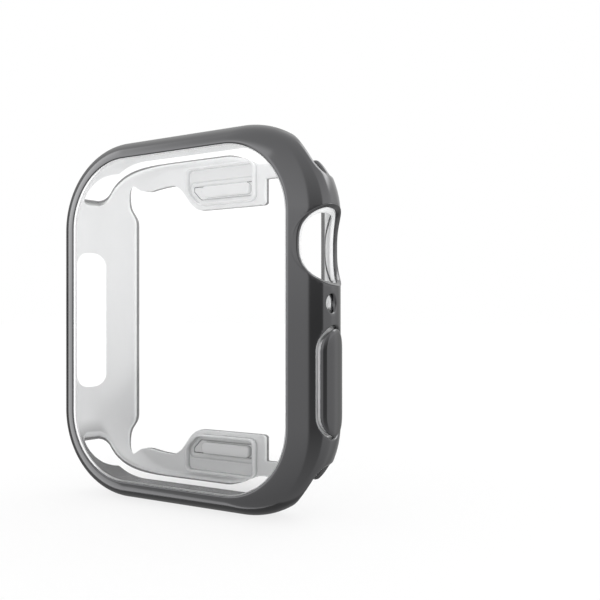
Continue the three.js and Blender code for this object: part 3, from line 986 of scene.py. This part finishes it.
# The finish of each material slot
finishes = {"plated_skin": plated, "clear_moulding": moulding, "clear_film": film, "thin_web": moulding}


# The two sheets of the skin and of the clear body share one grid and one field of edges
station = stations(GRID)
row = rows(GRID)
surface = form(row, station)
field = edge_field(surface, hole_slopes(surface))


def plated_skin():
    """The plated outer layer, turned over every hole's edge and round the window."""
    inner = form(row, station, SKIN, SKIN, SKIN, SKIN)
    front = window_sizes(SKIN / 2)

    def window_rings(ring_station):
        return [ring_of(front, ring_station, SKIN_LIP, depth) for depth in SKIN_LIP_DEPTHS]

    shape = wall(surface, inner, station, field, skin_profile(), window_rings)
    piece("plated_skin", shape, "plated_skin", "plated_shell", backed=True)


def clear_moulding():
    """The clear body inside the skin, with a pale rim round the film and a ledge that the film lies on."""
    outer = form(row, station, BODY_START, BODY_START, BODY_START, BODY_START)
    inner = form(row, station, SIDE_WALL, END_WALL, FRONT_WALL, BACK_WALL, thin_front=True)
    window = window_sizes(BODY_START)
    corner = rounded(LEDGE_ROUND)
    edge = LEDGE_WIDTH - LEDGE_ROUND
    low = LEDGE_DEPTH + LEDGE_THICKNESS - LEDGE_ROUND
    section = [
        (-RIM_OUT, RIM_FOOT),
        (-RIM_OUT, RIM_DEPTH),
        (0, RIM_DEPTH),
        (0, LEDGE_DEPTH - LEDGE_ROUND),
        (0, LEDGE_DEPTH),
        *[(edge + rise, LEDGE_DEPTH + inset) for inset, rise in corner],
        *[(LEDGE_WIDTH - inset, low + rise) for inset, rise in corner],
    ]

    def ledge_rings(ring_station):
        return [ring_of(window, ring_station, inset, depth) for inset, depth in section]

    shape = wall(outer, inner, station, field, body_profile(), ledge_rings)
    piece("clear_moulding_body", shape, "clear_moulding", "clear_body")


def front_film():
    """The clear pane in the window, with straight sides and finely rounded edges."""
    sizes = window_sizes(BODY_START)
    corner = rounded(FILM_ROUND)
    front = FILM_FRONT + FILM_ROUND
    back = FILM_BACK - FILM_ROUND
    section = [
        (FILM_GAP + 2 * FILM_ROUND, FILM_FRONT),
        *[(FILM_GAP + inset, front - rise) for inset, rise in corner[::-1]],
        *[(FILM_GAP + inset, back + rise) for inset, rise in corner],
        (FILM_GAP + 2 * FILM_ROUND, FILM_BACK),
    ]
    rings = [ring_of(sizes, station, inset, depth) for inset, depth in section]
    piece("front_film", loft(rings), "clear_film", "screen_film")


def crown_lip():
    """The plated lip round the crown hole: a bead that stands proud of the wall, a chamfer down into the
    hole and a short tube, longer towards the back, with a silvery band round the middle of its bore."""
    base = evenly(crown_outline(0))
    along = np.roll(base, -1, axis=0) - np.roll(base, 1, axis=0)
    out = np.column_stack([along[:, 1], -along[:, 0]]) / np.linalg.norm(along, axis=1, keepdims=True)
    forward_share = (1 - out[:, 0]) / 2
    depth = CROWN_LIP_REAR_DEPTH + (CROWN_LIP_FRONT_DEPTH - CROWN_LIP_REAR_DEPTH) * forward_share

    def ring(grow, height):
        y = base[:, 0] + grow * out[:, 0]
        z = base[:, 1] + grow * out[:, 1]
        return np.column_stack([crown_side_x(y, z) + height, y, z])

    crest = CROWN_LIP_WIDTH * CREST_SHARE
    rings = [ring(CROWN_LIP_TUBE, -depth), ring(CROWN_LIP_TUBE, -CROWN_LIP_DROP)]
    for angle in np.linspace(0, math.pi / 2, EDGE_STEPS + 1):
        inset = (CROWN_LIP_WIDTH - crest) * (1 - math.cos(angle))
        rise = (CROWN_LIP_PROUD - CROWN_LIP_FOOT) * math.sin(angle)
        rings.append(ring(CROWN_LIP_WIDTH - inset, CROWN_LIP_FOOT + rise))
    for share in np.linspace(0, 1, EDGE_STEPS)[1:]:
        rings.append(ring(crest * (1 - share), CROWN_LIP_PROUD - (CROWN_LIP_PROUD + CROWN_LIP_DROP) * share))
    start = len(rings)
    rings += [ring(0, -CROWN_LIP_DROP - share * (depth - CROWN_LIP_DROP)) for share in CROWN_LIP_BANDS]
    rings.append(ring(0, -depth))
    vertices, faces = loft(rings, closed=True)
    faces.append(faces.pop(start))
    piece("crown_lip", (vertices, faces), "plated_skin", "crown_hole_lip", backed=True)


def pill_stack(rings):
    """A surface through pill rings that start and end on the button's middle line, so it needs no caps."""
    vertices, faces = loft(rings)
    return vertices, faces[:-2]


def button_cap(around):
    """The plated cap: a pill with a rounded shoulder and a slightly crowned face."""
    radius = BUTTON_HALF_WIDTH - BUTTON_GAP
    face = radius - BUTTON_ROUND
    shoulder = BUTTON_PROUD - BUTTON_CROWN
    rings = [pill_ring(around, reach, CAP_BOTTOM) for reach in (0, radius / 2, radius - PAD_EDGE, radius)]
    for inset, rise in rounded(1):
        rings.append(pill_ring(around, radius - BUTTON_ROUND * inset, shoulder * rise))
    for share in np.linspace(0, 1, EDGE_STEPS)[1:]:
        crown = BUTTON_CROWN * (1 - (1 - share) ** 2)
        rings.append(pill_ring(around, face * (1 - share), shoulder + crown))
    piece("button_cap", pill_stack(rings), "plated_skin", "side_button_cap", "side_button")


def button_plunger(around):
    """The clear block on the cap's inside, with a rounded foot."""
    rings = [pill_ring(around, radius, PLUNGER_TOP) for radius in (0, PLUNGER_RADIUS)]
    for inset, rise in rounded(PLUNGER_ROUND):
        rings.append(pill_ring(around, PLUNGER_RADIUS - inset, PLUNGER_BOTTOM + PLUNGER_ROUND - rise))
    rings += [pill_ring(around, radius, PLUNGER_BOTTOM) for radius in (PLUNGER_RADIUS / 2, 0)]
    piece("button_plunger", pill_stack(rings), "clear_moulding", "side_button_plunger", "side_button")


def button_web(around):
    """The thin ring in the groove round the button, which sags a little in its middle."""
    outer = BUTTON_HALF_WIDTH - WEB_SEAM
    inner = PLUNGER_RADIUS + WEB_SEAM
    middle = (outer + PLUNGER_RADIUS) / 2
    top = [(outer, -WEB_DROP), (middle, -WEB_DROP - WEB_SAG), (inner, -WEB_DROP)]
    section = [*top, *[(radius, height - WEB_THICKNESS) for radius, height in top[::-1]]]
    rings = [pill_ring(around, radius, height) for radius, height in section]
    piece("button_web", loft(rings, closed=True), "thin_web", "side_button_web")


def pad_ring(margin, depth, sign, top=PAD_TOP):
    """A ring of the pad's outline, drawn in by a margin, at a depth."""
    return flat_ring(pad_outline(margin, top), depth, sign)


def pad_plate(end, sign):
    """The plated plate that is pressed, flush with the back plate, with finely rounded edges."""
    edge = CASE_DEPTH - PAD_EDGE
    rings = [pad_ring(0, CASE_DEPTH - PAD_THICKNESS, sign)]
    rings += [pad_ring(inset, edge + rise, sign) for inset, rise in rounded(PAD_EDGE)]
    piece(f"{end}_pad_plate", loft(rings), "plated_skin", f"{end}_release_pad", f"{end}_release")


def bar_ring(inset, depth, sign):
    """A ring of the pusher bar's outline, drawn in by an inset, at a depth."""
    middle = (PAD_BOTTOM + PAD_TOP) / 2
    half_sizes = (PUSHER_HALF_WIDTH - inset, PUSHER_HALF_HEIGHT - inset)
    outline = rounded_rectangle(PUSHER_CENTRE, middle, *half_sizes, PUSHER_CORNER - inset / 2)
    return flat_ring(outline, depth, sign)


def pusher_bar(end, sign):
    """The clear backing on the plate's inside, and the bar on it that presses the watch's band release."""
    step = BACKING_FACE - BACKING_THICKNESS
    edge = step + PAD_EDGE
    foot = step - PUSHER_HEIGHT + PUSHER_ROUND
    rings = [pad_ring(BACKING_MARGIN, BACKING_FACE, sign)]
    rings += [pad_ring(BACKING_MARGIN + inset, edge - rise, sign) for inset, rise in rounded(PAD_EDGE)]
    backing_vertices, backing_faces = loft(rings)
    rings = [bar_ring(0, edge, sign)]
    rings += [bar_ring(inset, foot - rise, sign) for inset, rise in rounded(PUSHER_ROUND)]
    bar_vertices, bar_faces = loft(rings)
    vertices = np.vstack([backing_vertices, bar_vertices])
    faces = [*backing_faces, *(np.asarray(block) + len(backing_vertices) for block in bar_faces)]
    piece(f"{end}_bar", (vertices, faces), "clear_moulding", f"{end}_pusher_bar", f"{end}_release")


def release_web(end, sign):
    """The thin ring in the groove round the pad."""
    top = CASE_DEPTH - PAD_THICKNESS - WEB_TRAVEL
    low = top - WEB_THICKNESS
    inner = BACKING_MARGIN - PAD_GAP
    section = [(-PAD_GAP, top), (inner, top), (inner, low), (-PAD_GAP, low)]
    rings = [pad_ring(margin, depth, sign) for margin, depth in section]
    piece(f"{end}_web", loft(rings, closed=True), "thin_web", f"{end}_release_web")


def pocket_rim(end, sign):
    """The raised rim round the pad's pocket, on the back plate's inner face, with a round crest."""
    face = CASE_DEPTH - BACK_WALL
    crest = rounded(RIM_WALL / 2)
    foot = face - RIM_HEIGHT + RIM_WALL / 2
    section = [
        (-RIM_WALL, face),
        *[(inset - RIM_WALL, foot - rise) for inset, rise in crest],
        *[(-inset, foot - rise) for inset, rise in crest[-2::-1]],
        (0, face),
    ]
    rings = [pad_ring(margin, depth, sign, POCKET_TOP) for margin, depth in section]
    piece(f"{end}_rim", loft(rings, closed=True), "clear_moulding", f"{end}_pocket_rim")


plated_skin()
clear_moulding()
front_film()
crown_lip()
around_button = pill_stations(BUTTON_HALF_LENGTH - BUTTON_HALF_WIDTH)
button_cap(around_button)
button_plunger(around_button)
button_web(around_button)
for end, sign in (("top", 1), ("bottom", -1)):
    pad_plate(end, sign)
    pusher_bar(end, sign)
    release_web(end, sign)
    pocket_rim(end, sign)


# Studio: white floor and surroundings
def floor():
    """A wide white floor under the case. To the camera it is mostly plain white, with a soft shadow."""
    mesh = bpy.data.meshes.new("floor")
    half = FLOOR_HALF
    corners = [(-half, -half, 0), (half, -half, 0), (half, half, 0), (-half, half, 0)]
    mesh.from_pydata(corners, [], [range(len(corners))])
    material, tree, shader = new_material("white_floor")
    fill(tree, shader, {"Base Color": (*FLOOR_WHITE, 1), "Roughness": 1, "Specular IOR Level": 0})
    glow = tree.nodes.new("ShaderNodeEmission")
    path = tree.nodes.new("ShaderNodeLightPath")
    share = product(tree, path.outputs["Is Camera Ray"], FLOOR_GLOW)
    surfaces = {"Fac": share, 1: shader.outputs["BSDF"], 2: glow.outputs["Emission"]}
    mixed = add_node(tree, "ShaderNodeMixShader", surfaces)
    fill(tree, tree.nodes["Material Output"], {"Surface": mixed.outputs["Shader"]})
    mesh.materials.append(material)
    thing = add_object("floor", mesh)
    thing.visible_glossy = False


def light_by_height(tree, z):
    """The studio's light by the height of a direction, from -1 to 1: brighter upwards to a limit that falls
    towards the top, and darker downwards to a least level."""
    above = math_node(tree, "MULTIPLY_ADD", math_node(tree, "MAXIMUM", z, 0), STUDIO_RISE, STUDIO_LEVEL)
    most = math_node(tree, "MULTIPLY_ADD", z, STUDIO_TOP_FALL, STUDIO_TOP)
    above = math_node(tree, "MINIMUM", above, most)
    level = math_node(tree, "MULTIPLY_ADD", math_node(tree, "MINIMUM", z, 0), STUDIO_FALL, above)
    return math_node(tree, "MAXIMUM", level, STUDIO_LEAST)


def dimmed(tree, level, *shares):
    """A level of light with the product of some shares of it taken away."""
    kept = math_node(tree, "SUBTRACT", 1.0, product(tree, *shares))
    return product(tree, level, kept)


def with_flats(tree, level, turn, z):
    """The light with two opposite dark flats, which are darkest at the horizon, and a darker stretch
    behind the case that reaches up to the second flat's end."""
    soft = math.radians(FLAT_SOFTNESS)
    end = math.radians(FLATS[-1][-1])
    behind = smooth(tree, turn, *map(math.radians, BEHIND))
    before_end = smooth(tree, turn, end + soft, end - soft)
    low = smooth(tree, z, *BEHIND_HEIGHTS)
    level = dimmed(tree, level, behind, before_end, low, 1 - BEHIND_SHARE)
    taken = math_node(tree, "MULTIPLY_ADD", math_node(tree, "ABSOLUTE", z), -FLAT_RISE, 1 - FLAT_SHARE)
    for flat in FLATS:
        level = dimmed(tree, level, band(tree, turn, *map(math.radians, flat), soft), taken)
    return level


def surroundings():
    """The world: plain white to the camera, through clear parts and as soft light. Reflections see a
    studio, laid out by azimuth from the front towards the crown side: two dark flats, a darker stretch
    behind, a soft panel with a slanted edge to the left of the front, and one high up behind."""
    world = bpy.data.worlds.new("studio")
    bpy.context.scene.world = world
    world.use_nodes = True
    tree = world.node_tree
    place = tree.nodes.new("ShaderNodeTexCoord")
    x, y, z = components(tree, place.outputs["Generated"])
    azimuth = math_node(tree, "ARCTAN2", x, product(tree, y, -1))
    turn = math_node(tree, "FLOORED_MODULO", azimuth, 2 * math.pi)
    level = with_flats(tree, light_by_height(tree, z), turn, z)
    slanted = math_node(tree, "MULTIPLY_ADD", azimuth, PANEL_SLANT, z)
    inner_edge = smooth(tree, slanted, *PANEL_EDGE)
    outer_edge = smooth(tree, azimuth, *map(math.radians, PANEL_LEFT))
    top = smooth(tree, z, *PANEL_TOP)
    level = math_node(tree, "ADD", level, product(tree, inner_edge, outer_edge, top, PANEL_GAIN))
    across = band(tree, turn, *map(math.radians, REAR_PANEL), REAR_PANEL_SOFTNESS)
    upright = band(tree, z, *REAR_PANEL_HEIGHTS, REAR_PANEL_SOFTNESS)
    level = math_node(tree, "ADD", level, product(tree, across, upright, REAR_PANEL_GAIN))
    path = tree.nodes.new("ShaderNodeLightPath")
    plain = path.outputs["Is Camera Ray"]
    for ray in ("Is Transmission Ray", "Is Diffuse Ray"):
        plain = math_node(tree, "MAXIMUM", plain, path.outputs[ray])
    mixed = add_node(tree, "ShaderNodeMix", {"Factor": plain, "A": level, "B": 1.0})
    fill(tree, tree.nodes["Background"], {"Color": (1, 1, 1, 1), "Strength": mixed.outputs["Result"]})


def camera():
    """The camera of the photo's view: level, turned to the crown side, with the horizon a little low."""
    data = bpy.data.cameras.new("camera")
    data.sensor_width = SENSOR_WIDTH
    data.lens = LENS
    data.shift_y = HORIZON_SHIFT
    data.clip_start = CLIP_START
    thing = add_object("camera", data)
    thing.location = Vector(CAMERA_PLACE) * MILLIMETRE
    thing.rotation_euler = (math.pi / 2, 0, math.radians(CAMERA_AZIMUTH))
    bpy.context.scene.camera = thing


floor()
surroundings()
camera()
bpy.context.scene.view_settings.view_transform = "Standard"
